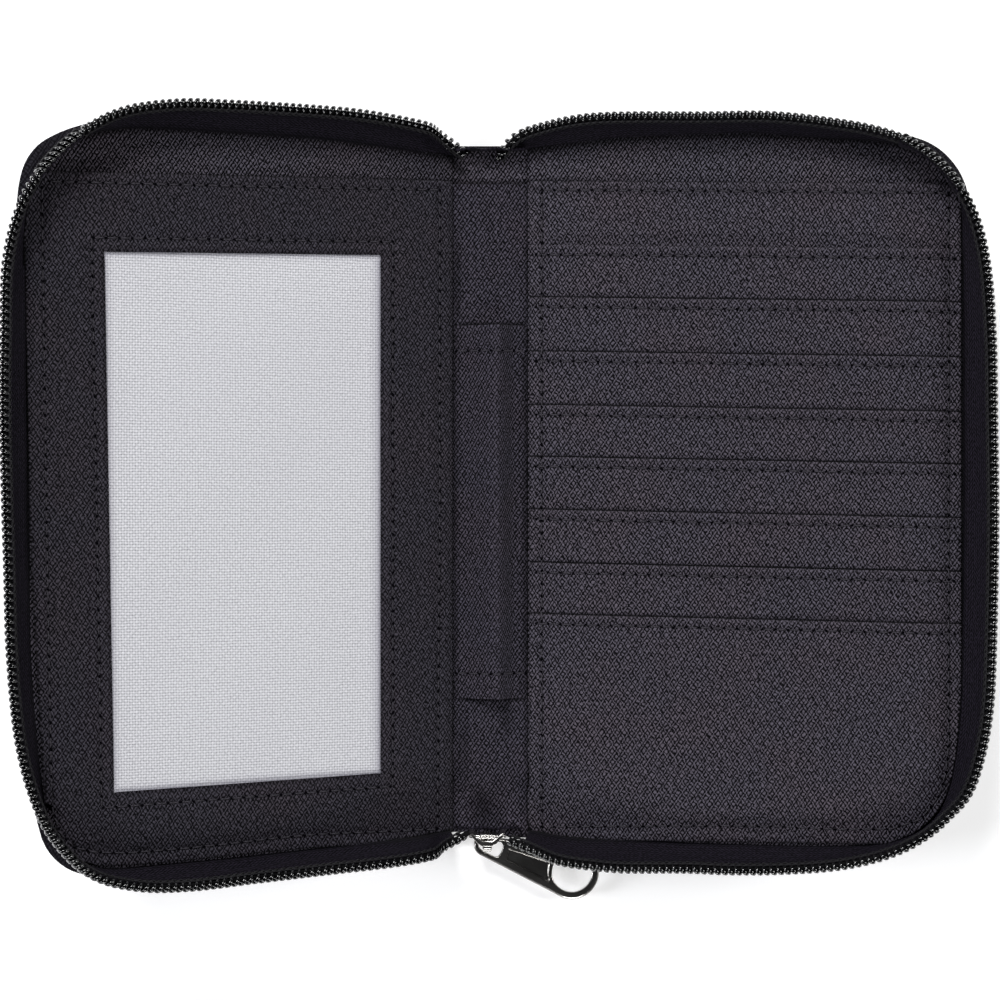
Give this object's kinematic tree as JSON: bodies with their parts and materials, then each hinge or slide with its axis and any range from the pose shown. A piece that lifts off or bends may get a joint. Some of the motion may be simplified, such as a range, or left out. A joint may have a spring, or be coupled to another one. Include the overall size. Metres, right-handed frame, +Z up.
{
  "type": "passport holder wallet",
  "caption": "Zip-around travel wallet lying open: mesh-window pocket, card slots and a pen sleeve on a soft spine, with folding covers and a metal slider and pull.",
  "frame": {"origin": "centre of the spine's underside, on the table", "axes": "+X towards the card-slot cover, +Y towards the top of the open wallet, +Z up out of the table"},
  "size_m": [0.2052, 0.171, 0.05],
  "materials": {
    "shell_fabric": "matt woven polyester",
    "pocket_fabric": "small-dot dobby weave, matt",
    "lining_fabric": "coarse weave with a slight glint",
    "window_mesh": "open plain-weave mesh",
    "zip_tape": "herringbone tape",
    "zip_coil": "glossy nylon coil",
    "padding_foam": "closed-cell foam sheet, hidden",
    "stiffener_board": "pressed board, hidden",
    "shield_foil": "metallised shielding cloth, hidden",
    "gunmetal": "dark nickel plate, polished"
  },
  "bodies": {
    "spine": {"spine_shell": "shell_fabric", "spine_padding": "padding_foam", "spine_lining": "lining_fabric", "spine_pocket_strip": "pocket_fabric", "pen_sleeve": "pocket_fabric", "zip_coil_end_top_left": "zip_coil", "zip_coil_end_top_right": "zip_coil", "zip_coil_end_bottom_left": "zip_coil", "zip_coil_end_bottom_right": "zip_coil", "zip_tape_end_top": "zip_tape", "zip_tape_end_bottom": "zip_tape", "zip_end_stop": "zip_tape"},
    "left_cover": {"left_outer_shell": "shell_fabric", "left_foam_padding": "padding_foam", "left_stiffener_board": "stiffener_board", "left_shield_liner": "shield_foil", "left_back_lining": "lining_fabric", "window_pocket_panel": "pocket_fabric", "mesh_window": "window_mesh", "left_zip_tape": "zip_tape", "left_zip_coil": "zip_coil"},
    "right_cover": {"right_outer_shell": "shell_fabric", "right_foam_padding": "padding_foam", "right_stiffener_board": "stiffener_board", "right_shield_liner": "shield_foil", "right_back_lining": "lining_fabric", "card_pocket_panel": "pocket_fabric", "card_slot_1": "pocket_fabric", "card_slot_2": "pocket_fabric", "card_slot_3": "pocket_fabric", "card_slot_4": "pocket_fabric", "card_slot_5": "pocket_fabric", "card_slot_6": "pocket_fabric", "card_slot_7": "pocket_fabric", "card_slot_8": "pocket_fabric", "right_zip_tape": "zip_tape", "right_zip_coil": "zip_coil"},
    "slider": {"slider_body": "gunmetal", "slider_bridge": "gunmetal"},
    "pull": {"pull_tab": "gunmetal"}
  },
  "joints": [
    {"name": "left_fold", "type": "hinge", "parent": "spine", "child": "left_cover", "pos_m": [-0.0083, 0, 0.0038], "axis": [0, 1, 0], "range_deg": [-23, 67]},
    {"name": "right_fold", "type": "hinge", "parent": "spine", "child": "right_cover", "pos_m": [0.0083, 0, 0.0038], "axis": [0, -1, 0], "range_deg": [-6, 84]},
    {"name": "slider_travel", "type": "slide", "parent": "spine", "child": "slider", "axis": [0, 0, 1], "range_m": [0, 0.002]},
    {"name": "pull_swing", "type": "hinge", "parent": "slider", "child": "pull", "pos_m": [-0.0006, -0.0789, 0.0045], "axis": [0, 0, -1], "range_deg": [0, 154]}
  ]
}
